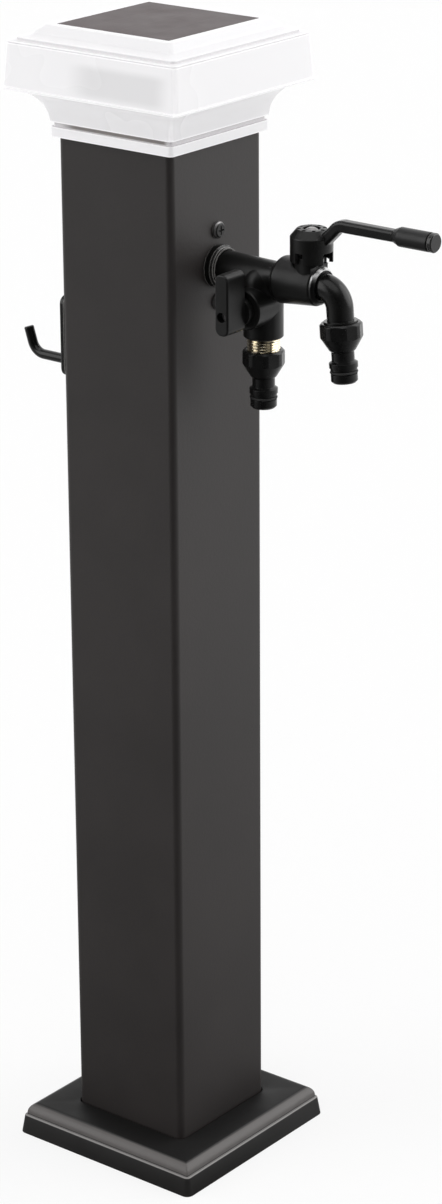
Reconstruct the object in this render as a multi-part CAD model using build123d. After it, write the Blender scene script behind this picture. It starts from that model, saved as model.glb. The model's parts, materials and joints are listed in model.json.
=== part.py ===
from build123d import *
import os
from math import cos, pi, radians, sin, sqrt

# Garden standpipe. Origin on the floor at the post's axis, +Z up, +X the way the tap points.
# All sizes are in millimetres. Threads are drawn plain, at their largest radius.

# Fits
run_gap = 0.05
thread_gap = 0.06
seat_gap = 0.05
move_gap = 0.6
screw_hole_gap = 0.3
cut_over = 1.0
half_inch_thread = 20.955
hex_sides = 6

# Post
post_width = 90.0
post_wall = 2.0
post_corner = 4.3
post_above_tap = 89.5

# Floor plate, welded under the post
plate_side_gap = 6.3
plate_thick = 5.0
plate_corner = 8.0
anchor_edge = 12.0
anchor_hole = 10.0

# Cover over the floor plate
cover_width = 149.0
cover_skirt_high = 12.6
cover_draft = 2.3
cover_lip = 0.6
cover_shelf = 1.0
cover_step = 0.5
cover_band_wide = 6.6
cover_band_high = 7.4
band_steps = 8
cover_wall = 2.2
cover_gap = 1.0
cover_corner = 5.0
cover_inner_corner = 0.8

# Water inlet in the floor plate and the riser inside the post
socket_radius = 14.0
socket_high = 36.0
socket_thread_deep = 16.0
water_radius = 6.0
nipple_stub = 12.0
nipple_hex_wide = 27.0
nipple_hex_high = 8.0
union_nut_wide = 26.0
union_nut_lip = 3.0
union_washer = 2.0
tail_flange = 2.0
tail_long = 18.0
hose_radius = 7.0
hose_bore = 4.7
tail_wall = 1.2
ferrule_wall = 1.3
ferrule_long = 20.0
hose_bend_low = 150.0
hose_bend_high = 150.0
bend_share = 0.45

# Elbow behind the tap, held by two screws through the post
tap_height = 615.5
elbow_leg_in = 21.0
elbow_wall = 3.5
elbow_leg_radius = 11.0
elbow_leg_down = 25.0
elbow_stub = 14.0
ear_thick = 4.0
ear_wide = 20.0
screw_spread = 22.7
ear_over = 7.5
ear_round = 9.0
pan_head_radius = 5.4
pan_head_high = 3.0
pan_screw_radius = 2.4
cross_wide = 1.1
cross_long = 5.6
cross_deep = 1.3

# Ring on the post round the tap's neck
flange_radius = 13.7
flange_thick = 5.5
flange_bevel = 1.2
flange_step_radius = 12.1
flange_step_long = 1.6

# Tap body
neck_root_radius = 10.85
neck_end_radius = 9.8
neck_out = 47.5
flare_long = 6.0
barrel_radius = 14.9
barrel_end_radius = 12.6
barrel_shoulder_out = 79.4
barrel_end_out = 82.0
barrel_nose_radius = 9.9
barrel_bevel = 0.7
branch_out = 36.0
branch_radius = 12.5
branch_top_down = 4.0
branch_bottom_down = 39.3
side_axis_down = 18.2
side_boss_radius = 12.8
side_boss_out = 20.6
main_stem_out = 73.0
bonnet_radius = 10.4
bonnet_high = 18.0
recess_radius = 7.6
recess_from = -35.0
recess_turn = 100.0

# Ball valves, alike in the barrel and in the branch
ball_radius = 6.6
ball_bore = 3.9
chamber_radius = 7.4
seat_in = 4.0
seat_thick = 1.5
stem_radius = 3.2
stem_shoulder = 6.7
tongue_wide = 2.6
tongue_root = 4.7
slot_gap = 0.1
square_wide = 4.6
gland_radius = 5.55
gland_deep = 7.0
gland_head = 3.0
gland_head_wide = 12.0
seal_thick = 2.3

# Main lever: hood, bent arm, grip and end cap
hood_radius = 13.3
hood_bottom_up = 14.9
hood_shoulder_up = 30.2
hood_top_up = 35.1
hood_top_radius = 9.2
hood_edge = 0.8
hood_cavity_radius = 11.0
hood_roof = 8.2
hood_recess_radius = 5.4
hood_recess_deep = 2.2
hood_hub_radius = 5.4
notch_high = 6.6
front_notch_turn = 24.0
arm_notch_turn = 43.0
scallops = 8
scallop_radius = 1.3
scallop_out = 8.0
scallop_deep = 1.2
stop_lug_turn = 12.0
stop_lug_reach = 12.3
stop_window_spare = 5.0
stop_lug_high = 3.0
lever_turn = 90.0
lug_middle = 75.0
lever_screw_head = 4.2
lever_screw_high = 2.6
lever_screw_radius = 1.9
lever_screw_long = 9.0
arm_root_up = 24.0
arm_slope = 45.0
arm_bend_out = 21.5
arm_up = 40.0
arm_bend_long = 5.0
arm_knee_share = 0.25
arm_bend_wide = 4.1
arm_bend_high = 3.7
arm_end_wide = 3.9
arm_end_high = 3.6
arm_round = 2.2
grip_start_out = 61.5
grip_cone_long = 4.8
grip_radius = 6.0
grip_long = 26.2
grip_mouth_radius = 4.3
grip_groove = 0.7
cap_long = 2.8
cap_groove = 1.2
cap_groove_deep = 0.9
cap_dome = 0.8
cap_plug_radius = 3.6
cap_plug_long = 5.0
spigot_radius = 2.3
spigot_long = 17.0

# Side lever on the branch
side_bar_wide = 10.0
side_bar_up = 26.8
side_bar_down = 11.8
side_bar_out = 42.0
side_bar_deep = 17.0
side_bar_round = 4.2
side_edge_round = 1.1
side_hub_radius = 8.6
side_recess_radius = 3.2
side_recess_deep = 6.0
side_screw_head = 2.8
side_screw_high = 1.8
side_screw_radius = 1.3
side_screw_long = 9.0

# Spout
spout_radius = 8.4
spout_bend = 12.5
spout_turn = 85.0
spout_tail_radius = 8.5
spout_down = 7.5
spout_thread_long = 9.5
spout_seal_thick = 0.8

# Bright ring that holds the spout in the barrel's mouth
spout_ring_radius = 11.8
spout_ring_nose = 10.3
spout_ring_land = 1.3
spout_ring_long = 3.2

# Threaded brass outlet of the branch
outlet_thread_long = 16.5
outlet_spigot_radius = 9.0

# Hose adapters
adapter_nut_wide = 25.4
adapter_nut_sides = 8
adapter_nut_long = 11.3
adapter_nut_round = 13.2
adapter_thread_deep = 10.0
adapter_bevel = 1.2
adapter_cone_long = 5.6
adapter_cone_radius = 8.4
adapter_neck_radius = 7.1
adapter_neck_long = 8.1
adapter_ridge_radius = 8.9
adapter_ridge_long = 3.0
adapter_land_radius = 8.3
adapter_groove_radius = 6.9
adapter_groove_long = 2.4
adapter_groove_down = 1.6
adapter_long = 37.5
adapter_bore = 5.0
adapter_washer = 1.6
adapter_seal_thick = 1.75

# Hose hook on the side away from the tap
hook_plate_wide = 86.0
hook_plate_high = 52.8
hook_plate_thick = 3.6
hook_plate_round = 5.5
hook_plate_down = 52.1
hook_rod_radius = 3.2
hook_arm_spread = 56.0
hook_arm_down = 20.0
hook_reach = 34.0
hook_bend = 10.0
hook_lean = 18.0
hook_tip_long = 17.5
hook_tip_round = 1.0
hook_screw_spread = 30.0
hook_screw_long = 12.0
rivet_nut_radius = 3.6
rivet_nut_flange = 5.2
rivet_nut_long = 9.0
rivet_nut_lip = 0.9

# Solar lamp on the post
lamp_over_post = 12.0
lamp_post_gap = 0.6
collar_half = 48.5
collar_high = 6.4
groove_half = 47.1
groove_high = 3.2
lamp_floor = 2.0
lamp_corner = 3.0
lens_wall = 2.2
lens_foot_half = 49.4
lens_foot_high = 1.2
cove_high = 20.0
cove_steps = 7
bead_high = 1.4
bead_out = 0.7
band_draft = 1.9
band_top_half = 66.9
band_high = 27.2
shelf_past_screw = 1.9
frame_lip_high = 1.0
frame_lip_in = 0.4
frame_skirt_high = 4.5
frame_wall = 1.8
frame_step_in = 4.0
frame_step_high = 2.4
frame_cove_wide = 7.9
frame_cove_high = 2.8
frame_cove_steps = 5
frame_bead_in = 0.7
frame_bead_high = 0.7
frame_rim_slope = 4.4
frame_rim_high = 3.5
frame_rim_bevel = 0.6
panel_rim_wide = 5.3
panel_thick = 2.2
panel_ledge = 2.4
core_half = 30.0
core_high = 24.0
core_wall = 1.8
core_flange_over = 1.3
core_flange_thick = 2.0
board_half = 26.0
board_thick = 1.6
led_radius = 2.5
led_high = 5.0
led_spread = 30.0
battery_radius = 7.2
battery_long = 50.0
battery_tip_radius = 2.7
battery_tip_long = 1.2
battery_clip_wide = 12.0
battery_clip_thick = 1.0
core_lid_thick = 1.8
switch_wide = 13.0
switch_long = 20.0
switch_deep = 6.0
switch_slot_wide = 4.0
switch_slot_long = 9.0
switch_travel = 3.0
switch_knob_deep = 4.4
switch_knob_wide = 3.4
lamp_screw_in = 10.0
lamp_screw_radius = 1.5
lamp_screw_head = 3.0
lamp_screw_high = 1.8
lamp_screw_long = 9.0
boss_radius = 3.6
lamp_seat_gap = 0.3

# Places that follow from the sizes above
post_up = Vector(0, 0, 1)
post_out = Vector(1, 0, 0)
side_out = Vector(0, -1, 0)
post_half = post_width / 2
wall_in = post_half - post_wall
thread_radius = half_inch_thread / 2
thread_bore = thread_radius + thread_gap
cover_half = cover_width / 2
cover_top = cover_skirt_high + cover_lip + cover_step + cover_band_high
plate_half = cover_half - cover_wall - plate_side_gap
anchor_half = plate_half - anchor_edge
anchor_spacing = anchor_half + anchor_half
post_top = tap_height + post_above_tap

# Tap and riser places
branch_x = post_half + branch_out
stem_x = post_half + main_stem_out
barrel_x = post_half + barrel_end_out
leg_x = wall_in - elbow_leg_in
side_z = tap_height - side_axis_down
branch_bottom = tap_height - branch_bottom_down
outlet_bottom = branch_bottom - outlet_thread_long
outlet_top = side_z - seat_in - seat_thick
leg_bottom = tap_height - elbow_leg_down - elbow_stub
riser_low = socket_high + nipple_hex_high + nipple_stub
hose_low = riser_low + union_washer + tail_flange
hose_high = leg_bottom - union_washer - tail_flange
main_centre = (stem_x, 0, tap_height)
side_centre = (branch_x, 0, side_z)
spout_tail_long = barrel_end_out - main_stem_out - seat_in - seat_thick

# Lever places, measured from the valve axes
hood_floor_up = hood_top_up - hood_recess_deep
main_square_up = bonnet_high + gland_head + move_gap
main_square_top = hood_floor_up - move_gap
side_square_out = side_boss_out + gland_head + move_gap
side_floor_out = side_bar_out - side_recess_deep
side_square_top = side_floor_out - move_gap

# Spout places
spout_lean = radians(90 - spout_turn)
spout_away = Vector(sin(spout_lean), 0, -cos(spout_lean))
spout_bend_x = barrel_x + spout_bend * cos(spout_lean)
spout_bend_z = tap_height - spout_bend + spout_bend * sin(spout_lean)
spout_bend_end = Vector(spout_bend_x, 0, spout_bend_z)
spout_collar = spout_bend_end + spout_away * spout_down
spout_foot = spout_collar + spout_away * spout_thread_long

# Hook places
hook_plate_mid = tap_height - hook_plate_down
hook_arm_up = hook_plate_mid - hook_arm_down
hook_face = -(post_half + hook_plate_thick)
hook_screw_ys = (-hook_screw_spread / 2, hook_screw_spread / 2)
hook_arm_ys = (-hook_arm_spread / 2, hook_arm_spread / 2)

# Lamp widths
band_foot_half = band_top_half + band_draft
cove_wide = band_foot_half + bead_out - lens_foot_half
frame_step_half = band_top_half - frame_lip_in - frame_step_in
frame_cove_half = frame_step_half - frame_cove_wide
frame_bead_half = frame_cove_half - frame_bead_in
frame_rim_half = frame_bead_half - frame_rim_slope
panel_half = frame_rim_half - panel_rim_wide
lamp_screw_half = wall_in - lamp_screw_in
lamp_screw_spread = lamp_screw_half + lamp_screw_half
shelf_half = lamp_screw_half - shelf_past_screw

# Lamp heights, from its collar up
lamp_bottom = post_top - lamp_over_post
groove_low = lamp_bottom + collar_high
lens_low = groove_low + groove_high
floor_low = post_top + lamp_seat_gap
floor_top = floor_low + lamp_floor
shelf_top = floor_top + lamp_floor
cove_low = lens_low + lens_foot_high
bead_low = cove_low + cove_high
band_low = bead_low + bead_high
band_top = band_low + band_high
frame_low = band_top
step_low = frame_low + frame_lip_high
step_top = step_low + frame_step_high
frame_cove_top = step_top + frame_cove_high
rim_low = frame_cove_top + frame_bead_high
rim_top = rim_low + frame_rim_high
panel_low = rim_top - panel_thick
core_top = panel_low - panel_ledge
core_low = core_top - core_high


def rod(origin, direction, radius, length):
    return Plane(origin=origin, z_dir=direction) * extrude(Circle(radius), length)


def pipe(origin, direction, radius, bore, length):
    return Plane(origin=origin, z_dir=direction) * extrude(Circle(radius) - Circle(bore), length)


def prism(origin, direction, across_flats, sides, length):
    outline = RegularPolygon(across_flats / 2, sides, major_radius=False)
    return Plane(origin=origin, z_dir=direction) * extrude(outline, length)


def turned(outline, origin, direction):
    face = Plane.XZ * make_face(Polyline(*outline, close=True))
    return Plane(origin=origin, z_dir=direction) * revolve(face, Axis.Z)


def ring_seal(origin, direction, middle_radius, thick):
    return Plane(origin=origin, z_dir=direction) * Torus(middle_radius, thick / 2)


def square_form(levels, corner):
    """Ruled form through square levels, each given as (half width, height)."""
    sections = [Plane((0, 0, z)) * RectangleRounded(half + half, half + half, corner) for half, z in levels]
    return loft(sections, ruled=True)


def offset_form(levels, corner, least_corner):
    """As square_form, but the corner shrinks as the levels step in, as a mould's offsets do."""
    widest = max(half for half, z in levels)
    sections = []
    for half, z in levels:
        rounding = max(corner - (widest - half), least_corner)
        sections.append(Plane((0, 0, z)) * RectangleRounded(half + half, half + half, rounding))
    return loft(sections, ruled=True)


def square_column(half, low, high, corner):
    return square_form([(half, low), (half, high)], corner)


def square_ring(half, bore_half, low, high, corner):
    return square_column(half, low, high, corner) - square_column(bore_half, low, high, corner)


def four_corners(spread):
    reach = spread / 2
    return [(sx * reach, sy * reach) for sx in (-1, 1) for sy in (-1, 1)]


def quarter_curve(wide, high, steps, hollow):
    """Points of a quarter ellipse as (way along, way up), starting at (0, 0)."""
    points = []
    for step in range(1, steps + 1):
        angle = pi / 2 * step / steps
        along = 1 - cos(angle) if hollow else sin(angle)
        up = sin(angle) if hollow else 1 - cos(angle)
        points.append((wide * along, high * up))
    return points


# Post and floor plate

def post_tube():
    wall = RectangleRounded(post_width, post_width, post_corner)
    wall -= RectangleRounded(wall_in + wall_in, wall_in + wall_in, post_corner - post_wall)
    tube = Plane((0, 0, plate_thick)) * extrude(wall, post_top - plate_thick)
    cut_start = wall_in - cut_over
    cut_long = post_wall + cut_over + cut_over
    tube -= rod((cut_start, 0, tap_height), post_out, thread_bore + screw_hole_gap, cut_long)
    for z in (tap_height - screw_spread, tap_height + screw_spread):
        tube -= rod((cut_start, 0, z), post_out, pan_screw_radius + screw_hole_gap, cut_long)
    for y in hook_screw_ys:
        hole = (-wall_in + cut_over, y, hook_plate_mid)
        tube -= rod(hole, -post_out, rivet_nut_radius + run_gap, cut_long)
    return tube


def base_plate():
    side = plate_half + plate_half
    plate = extrude(RectangleRounded(side, side, plate_corner), plate_thick)
    plate -= rod((0, 0, -cut_over), post_up, socket_radius + seat_gap, plate_thick + cut_over + cut_over)
    for x, y in four_corners(anchor_spacing):
        plate -= rod((x, y, -cut_over), post_up, anchor_hole / 2, plate_thick + cut_over + cut_over)
    return plate


def cover_levels(inset, drop):
    """Outline of the cover from the floor up, as (half width, height); inset and drop make its inside."""
    waist = cover_half - cover_draft
    shelf = waist - cover_lip - cover_shelf
    bead_top = cover_skirt_high + cover_lip
    band_foot = bead_top + cover_step
    levels = [(cover_half, 0), (waist, cover_skirt_high), (waist - cover_lip, bead_top)]
    levels += [(shelf, bead_top), (shelf, band_foot)]
    for along, up in quarter_curve(cover_band_wide, cover_band_high, band_steps, hollow=True):
        levels.append((shelf - along, band_foot + up))
    return [(half - inset, z - drop) for half, z in levels]


def base_cover():
    outer = offset_form(cover_levels(0, 0), cover_corner, cover_inner_corner)
    inner = offset_form(cover_levels(cover_wall, cover_wall), cover_corner - cover_wall, cover_inner_corner)
    hole = square_column(post_half + cover_gap, -cut_over, cover_top + cut_over, post_corner + cover_gap)
    return outer - inner - hole


# Inlet and riser inside the post

def inlet_socket():
    body = rod((0, 0, 0), post_up, socket_radius, socket_high)
    body -= rod((0, 0, -cut_over), post_up, thread_bore, socket_thread_deep + cut_over)
    body -= rod((0, 0, 0), post_up, water_radius, socket_high)
    body -= rod((0, 0, socket_high - socket_thread_deep), post_up, thread_bore, socket_thread_deep + cut_over)
    return body


def inlet_nipple():
    start = socket_high - socket_thread_deep + cut_over
    body = rod((0, 0, start), post_up, thread_radius, socket_high - start)
    body += prism((0, 0, socket_high), post_up, nipple_hex_wide, hex_sides, nipple_hex_high)
    body += rod((0, 0, socket_high + nipple_hex_high), post_up, thread_radius, nipple_stub)
    body -= rod((0, 0, start - cut_over), post_up, water_radius, riser_low - start + cut_over + cut_over)
    return body


def riser_ends():
    """Both ends of the riser: where the threaded stub ends and which way the hose leaves it."""
    return [((0, 0, riser_low), post_up), ((leg_x, 0, leg_bottom), -post_up)]


def riser_washer(end, away):
    return pipe(end, away, thread_radius - run_gap, water_radius, union_washer)


def riser_tail(end, away):
    start = Vector(*end) + away * union_washer
    tail = rod(start, away, thread_radius - run_gap, tail_flange)
    tail += rod(start, away, hose_bore - run_gap, tail_flange + tail_long)
    tail -= rod(start, away, hose_bore - tail_wall, tail_flange + tail_long)
    return tail


def riser_nut(end, away):
    grip = nipple_stub - move_gap
    long = grip + union_washer + tail_flange + union_nut_lip
    start = Vector(*end) - away * grip
    nut = prism(start, away, union_nut_wide, hex_sides, long)
    nut -= rod(start, away, thread_bore, long - union_nut_lip)
    nut -= rod(start, away, hose_radius + ferrule_wall + screw_hole_gap, long)
    return nut


def riser_ferrule(end, away):
    start = Vector(*end) + away * (union_washer + tail_flange)
    return pipe(start, away, hose_radius + ferrule_wall, hose_radius + seat_gap, ferrule_long)


def riser_hose():
    points = [(0, 0, hose_low), (0, 0, hose_low + hose_bend_low)]
    points += [(leg_x, 0, hose_high - hose_bend_high), (leg_x, 0, hose_high)]
    slant = Vector(*points[2]) - Vector(*points[1])
    half_turn = radians(slant.get_angle(post_up)) / 2
    bend = bend_share * min(hose_bend_low, hose_bend_high) * cos(half_turn) / sin(half_turn)
    path = FilletPolyline(*points, radius=bend)
    section = Plane(points[0]) * (Circle(hose_radius) - Circle(hose_bore))
    return sweep(section, path)


def wall_elbow():
    middle = (leg_x, 0, tap_height)
    outer = thread_bore + elbow_wall
    ear_high = screw_spread + screw_spread + ear_over + ear_over
    body = rod((wall_in, 0, tap_height), -post_out, outer, socket_thread_deep + elbow_wall)
    body += rod(middle, post_out, elbow_leg_radius, elbow_leg_in)
    body += Pos(middle) * Sphere(elbow_leg_radius)
    body += rod(middle, -post_up, elbow_leg_radius, elbow_leg_down)
    body += rod(middle, -post_up, thread_radius, elbow_leg_down + elbow_stub)
    ear_plane = Plane((wall_in, 0, tap_height), x_dir=(0, 1, 0), z_dir=(-1, 0, 0))
    body += ear_plane * extrude(RectangleRounded(ear_wide, ear_high, ear_round), ear_thick)
    body -= rod((wall_in + cut_over, 0, tap_height), -post_out, thread_bore, socket_thread_deep + cut_over)
    body -= rod(middle, post_out, water_radius, elbow_leg_in)
    body -= rod(middle, -post_up, water_radius, elbow_leg_down + elbow_stub + cut_over)
    for z in (tap_height - screw_spread, tap_height + screw_spread):
        start = (wall_in + cut_over, 0, z)
        body -= rod(start, -post_out, pan_screw_radius + run_gap, ear_thick + cut_over + cut_over)
    return body


def pan_screw(seat, outward, long):
    """Pan head screw with a cross recess; seat is under its head."""
    rim = pan_head_high / 2
    head = turned([(0, 0), (pan_head_radius, 0), (pan_head_radius, rim),
                   (pan_head_radius - rim, pan_head_high), (0, pan_head_high)], seat, outward)
    screw = head + rod(seat, -outward, pan_screw_radius, long)
    top = Vector(*seat) + outward * (pan_head_high - cross_deep)
    for wide, tall in ((cross_wide, cross_long), (cross_long, cross_wide)):
        screw -= Plane(origin=top, z_dir=outward) * extrude(Rectangle(wide, tall), cross_deep + cut_over)
    return screw


def elbow_screws():
    long = post_wall + ear_thick + cut_over
    heights = (tap_height - screw_spread, tap_height + screw_spread)
    return Compound([pan_screw((post_half, 0, z), post_out, long).solid() for z in heights])


def wall_flange():
    bore = neck_root_radius + screw_hole_gap
    step = flange_radius - flange_bevel
    flange_end = flange_thick + flange_step_long
    outline = [(bore, 0), (flange_radius, 0), (flange_radius, flange_thick - flange_bevel),
               (step, flange_thick), (flange_step_radius, flange_thick),
               (flange_step_radius, flange_end), (bore, flange_end)]
    return turned(outline, (post_half, 0, tap_height), post_out)


# Tap body: a casting bored for both valves

def run_profile():
    """Half section of the neck, flare and barrel: along X from the tail, and the radius up."""
    tail = -(post_wall + socket_thread_deep - cut_over)
    flare = neck_out + flare_long
    end_step = barrel_end_radius - barrel_bevel
    edges = [Line((tail, 0), (tail, thread_radius)), Line((tail, thread_radius), (0, thread_radius))]
    edges += [Line((0, thread_radius), (0, neck_root_radius))]
    edges += [Line((0, neck_root_radius), (neck_out, neck_end_radius))]
    edges += [Spline((neck_out, neck_end_radius), (flare, barrel_radius), tangents=((1, 0), (1, 0)))]
    ends = [(flare, barrel_radius), (barrel_shoulder_out - barrel_bevel, barrel_end_radius),
            (barrel_shoulder_out, end_step), (barrel_shoulder_out, barrel_nose_radius),
            (barrel_end_out, barrel_nose_radius), (barrel_end_out, 0), (tail, 0)]
    edges += [Line(first, second) for first, second in zip(ends, ends[1:])]
    return Plane((post_half, 0, tap_height), x_dir=(1, 0, 0), z_dir=(0, -1, 0)) * make_face(Curve() + edges)


def branch_form():
    foot = (branch_x, 0, branch_bottom)
    high = branch_bottom_down - branch_top_down
    edge = barrel_bevel
    outline = [(0, 0), (branch_radius - edge, 0), (branch_radius, edge), (branch_radius, high), (0, high)]
    crown = Pos(branch_x, 0, tap_height - branch_top_down) * Sphere(branch_radius)
    return turned(outline, foot, post_up) + crown


def side_boss_form():
    edge = barrel_bevel
    outline = [(0, 0), (side_boss_radius, 0), (side_boss_radius, side_boss_out - edge),
               (side_boss_radius - edge, side_boss_out), (0, side_boss_out)]
    return turned(outline, (branch_x, 0, side_z), side_out)


def stem_bore(centre, outward, boss_end):
    """Bore for a stem, with the wider well for its seal and gland at the boss's end."""
    bore = rod(centre, outward, stem_radius + run_gap, boss_end + cut_over)
    well = Vector(*centre) + outward * (boss_end - gland_deep)
    return bore + rod(well, outward, gland_radius + run_gap, gland_deep + cut_over)


def stem_sector(middle, turn, low, high):
    """Wedge of a round about the main stem, over a turn in degrees and between two heights."""
    half = turn / 2
    reach = (hood_radius + cut_over) / cos(radians(half / 2))
    turns = [radians(middle - half), radians(middle), radians(middle + half)]
    wedge = make_face(Polyline((0, 0), *[(reach * cos(a), reach * sin(a)) for a in turns], close=True))
    return Plane((stem_x, 0, tap_height + low)) * extrude(wedge, high - low)


def bonnet():
    """Boss round the main stem, cut back beside the spout, with the lug that stops the hood."""
    boss = rod(main_centre, post_up, bonnet_radius, bonnet_high)
    cut = stem_sector(recess_from + recess_turn / 2, recess_turn, barrel_end_radius, bonnet_high + cut_over)
    boss -= cut - rod(main_centre, post_up, recess_radius, bonnet_high + cut_over + cut_over)
    shoulder = (post_half + barrel_shoulder_out - barrel_bevel, 0, tap_height)
    boss -= rod(shoulder, post_out, barrel_radius, bonnet_radius)
    lug = rod(main_centre, post_up, stop_lug_reach, hood_bottom_up + stop_lug_high)
    sector = stem_sector(lug_middle, stop_lug_turn, hood_bottom_up, hood_bottom_up + stop_lug_high)
    return boss + (lug & sector)


def tap_body():
    body = revolve(run_profile(), Axis(main_centre, post_out))
    body += branch_form()
    body += side_boss_form()
    centre = (stem_x, 0, tap_height)
    body += bonnet()
    tail = -(post_wall + socket_thread_deep)
    body -= rod((post_half + tail, 0, tap_height), post_out, water_radius, barrel_end_out - tail)
    body -= rod((stem_x - seat_in - seat_thick, 0, tap_height), post_out, chamber_radius, barrel_end_out)
    mouth = (barrel_x - spout_tail_long, 0, tap_height)
    body -= rod(mouth, post_out, spout_tail_radius + thread_gap, barrel_end_out)
    body -= rod((branch_x, 0, tap_height), -post_up, water_radius, branch_bottom_down + cut_over)
    body -= rod((branch_x, 0, side_z + seat_in + seat_thick), -post_up, chamber_radius, branch_bottom_down)
    body -= rod((branch_x, 0, outlet_top), -post_up, outlet_spigot_radius + thread_gap, branch_bottom_down)
    body -= stem_bore(centre, post_up, bonnet_high)
    body -= stem_bore((branch_x, 0, side_z), side_out, side_boss_out)
    return body


# Ball valves

def valve_ball(centre, flow, stem):
    ball = Pos(centre) * Sphere(ball_radius)
    start = Vector(*centre) - flow * (ball_radius + cut_over)
    ball -= rod(start, flow, ball_bore, ball_radius + ball_radius + cut_over + cut_over)
    slot = Plane(origin=Vector(*centre) + stem * tongue_root, x_dir=flow, z_dir=stem)
    ball -= slot * extrude(Rectangle(ball_radius + ball_radius, tongue_wide + slot_gap), ball_radius)
    return ball


def valve_seat(centre, flow):
    """Seat on the side of the ball that flow points to."""
    cup = ball_radius + run_gap
    outer = chamber_radius - run_gap
    back = seat_in + seat_thick
    low = (sqrt(cup * cup - seat_in * seat_in), seat_in)
    high = (ball_bore, sqrt(cup * cup - ball_bore * ball_bore))
    middle_share = cup / sqrt((low[0] + high[0]) ** 2 + (low[1] + high[1]) ** 2)
    middle = ((low[0] + high[0]) * middle_share, (low[1] + high[1]) * middle_share)
    edges = Curve() + [Polyline(high, (ball_bore, back), (outer, back), (outer, seat_in), low)]
    edges += ThreePointArc(low, middle, high)
    ring = revolve(Plane.XZ * make_face(edges), Axis.Z)
    return (Plane(origin=centre, z_dir=flow) * ring).solid()


def valve_stem(centre, flow, stem, square_from, square_to):
    tongue_long = stem_shoulder - tongue_root
    half_tongue = tongue_wide / 2
    grip = sqrt(stem_radius * stem_radius - half_tongue * half_tongue)
    plane = Plane(origin=Vector(*centre) + stem * (tongue_root + seat_gap), x_dir=flow, z_dir=stem)
    piece = plane * extrude(Rectangle(grip + grip, tongue_wide), tongue_long)
    piece += rod(Vector(*centre) + stem * stem_shoulder, stem, stem_radius, square_from - stem_shoulder)
    top = Plane(origin=Vector(*centre) + stem * square_from, x_dir=flow, z_dir=stem)
    piece += top * extrude(Rectangle(square_wide, square_wide), square_to - square_from)
    return piece


def valve_gland(centre, stem, boss_end):
    well = boss_end - gland_deep + seal_thick
    start = Vector(*centre) + stem * well
    gland = rod(start, stem, gland_radius, boss_end - well)
    gland += prism(Vector(*centre) + stem * boss_end, stem, gland_head_wide, hex_sides, gland_head)
    return gland - rod(start, stem, stem_radius + run_gap, boss_end - well + gland_head + cut_over)


def valve_seal(centre, stem, boss_end):
    middle = (stem_radius + gland_radius) / 2 + run_gap
    thick = gland_radius - stem_radius - run_gap
    origin = Vector(*centre) + stem * (boss_end - gland_deep + seal_thick / 2)
    return ring_seal(origin, stem, middle, thick)


# Main lever

def skirt_cut(middle, turn, high):
    """What is cut from the hood's skirt for a notch or window, from its lower edge up."""
    sector = stem_sector(middle, turn, hood_bottom_up - cut_over, hood_bottom_up + high)
    return sector - rod(main_centre, post_up, hood_cavity_radius - cut_over, hood_top_up)


def hood_form():
    cavity_up = hood_top_up - hood_roof
    outline = [(hood_cavity_radius, hood_bottom_up), (hood_radius, hood_bottom_up)]
    outline += [(hood_radius, hood_shoulder_up), (hood_top_radius, hood_top_up)]
    outline += [(hood_recess_radius, hood_top_up), (hood_recess_radius, hood_floor_up), (0, hood_floor_up)]
    outline += [(0, main_square_up), (hood_hub_radius, main_square_up)]
    outline += [(hood_hub_radius, cavity_up), (hood_cavity_radius, cavity_up)]
    hood = turned(outline, main_centre, post_up)
    rims = [edge for edge in hood.edges().filter_by(GeomType.CIRCLE) if edge.radius >= hood_top_radius]
    top_rims = [edge for edge in rims if edge.center().Z > tap_height + hood_shoulder_up - hood_edge]
    hood = fillet(top_rims, hood_edge)
    for turn in range(scallops):
        angle = 2 * pi * turn / scallops
        foot = Vector(scallop_out * cos(angle), scallop_out * sin(angle), hood_top_up - scallop_deep)
        hood -= rod(Vector(*main_centre) + foot, post_up, scallop_radius, hood_roof)
    hood -= skirt_cut(-lever_turn, front_notch_turn, notch_high)
    hood -= skirt_cut(0, arm_notch_turn, notch_high)
    window = lever_turn + stop_lug_turn + stop_window_spare
    return hood - skirt_cut(lug_middle + lever_turn / 2, window, stop_lug_high + move_gap)


def arm_section(out, up, slope, wide, high):
    normal = (cos(radians(slope)), 0, sin(radians(slope)))
    plane = Plane(origin=(stem_x + out, 0, tap_height + up), x_dir=(0, 1, 0), z_dir=normal)
    return plane * RectangleRounded(wide + wide, high + high, arm_round)


def arm_form():
    rise = arm_up - arm_root_up
    slope = arm_slope
    knee_out = arm_bend_out - arm_bend_long * cos(radians(slope))
    knee_up = arm_up - arm_bend_long * sin(radians(slope))
    mid_in = arm_bend_long * sin(radians(slope / 2)) * arm_knee_share
    sections = [
        arm_section(knee_out - (rise - arm_up + knee_up), arm_root_up, slope, arm_bend_wide, arm_bend_high),
        arm_section(knee_out, knee_up, slope, arm_bend_wide, arm_bend_high),
        arm_section(arm_bend_out + mid_in, arm_up - mid_in, slope / 2, arm_bend_wide, arm_bend_high),
        arm_section(arm_bend_out + arm_bend_long, arm_up, 0, arm_bend_wide, arm_bend_high),
        arm_section(grip_start_out + grip_groove, arm_up, 0, arm_end_wide, arm_end_high),
    ]
    arm = loft(sections[:2], ruled=True) + loft(sections[1:4]) + loft(sections[3:], ruled=True)
    inside = rod(main_centre, post_up, hood_hub_radius, hood_top_up)
    inside += rod(main_centre, post_up, hood_cavity_radius, hood_top_up - hood_roof)
    return arm - inside


def lever():
    piece = hood_form() + arm_form()
    start = (stem_x + grip_start_out, 0, tap_height + arm_up)
    piece += rod(start, post_out, spigot_radius, spigot_long)
    hole = Plane((stem_x, 0, tap_height + bonnet_high)) * extrude(
        Rectangle(square_wide + slot_gap, square_wide + slot_gap), hood_top_up - bonnet_high)
    return piece - hole


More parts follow.
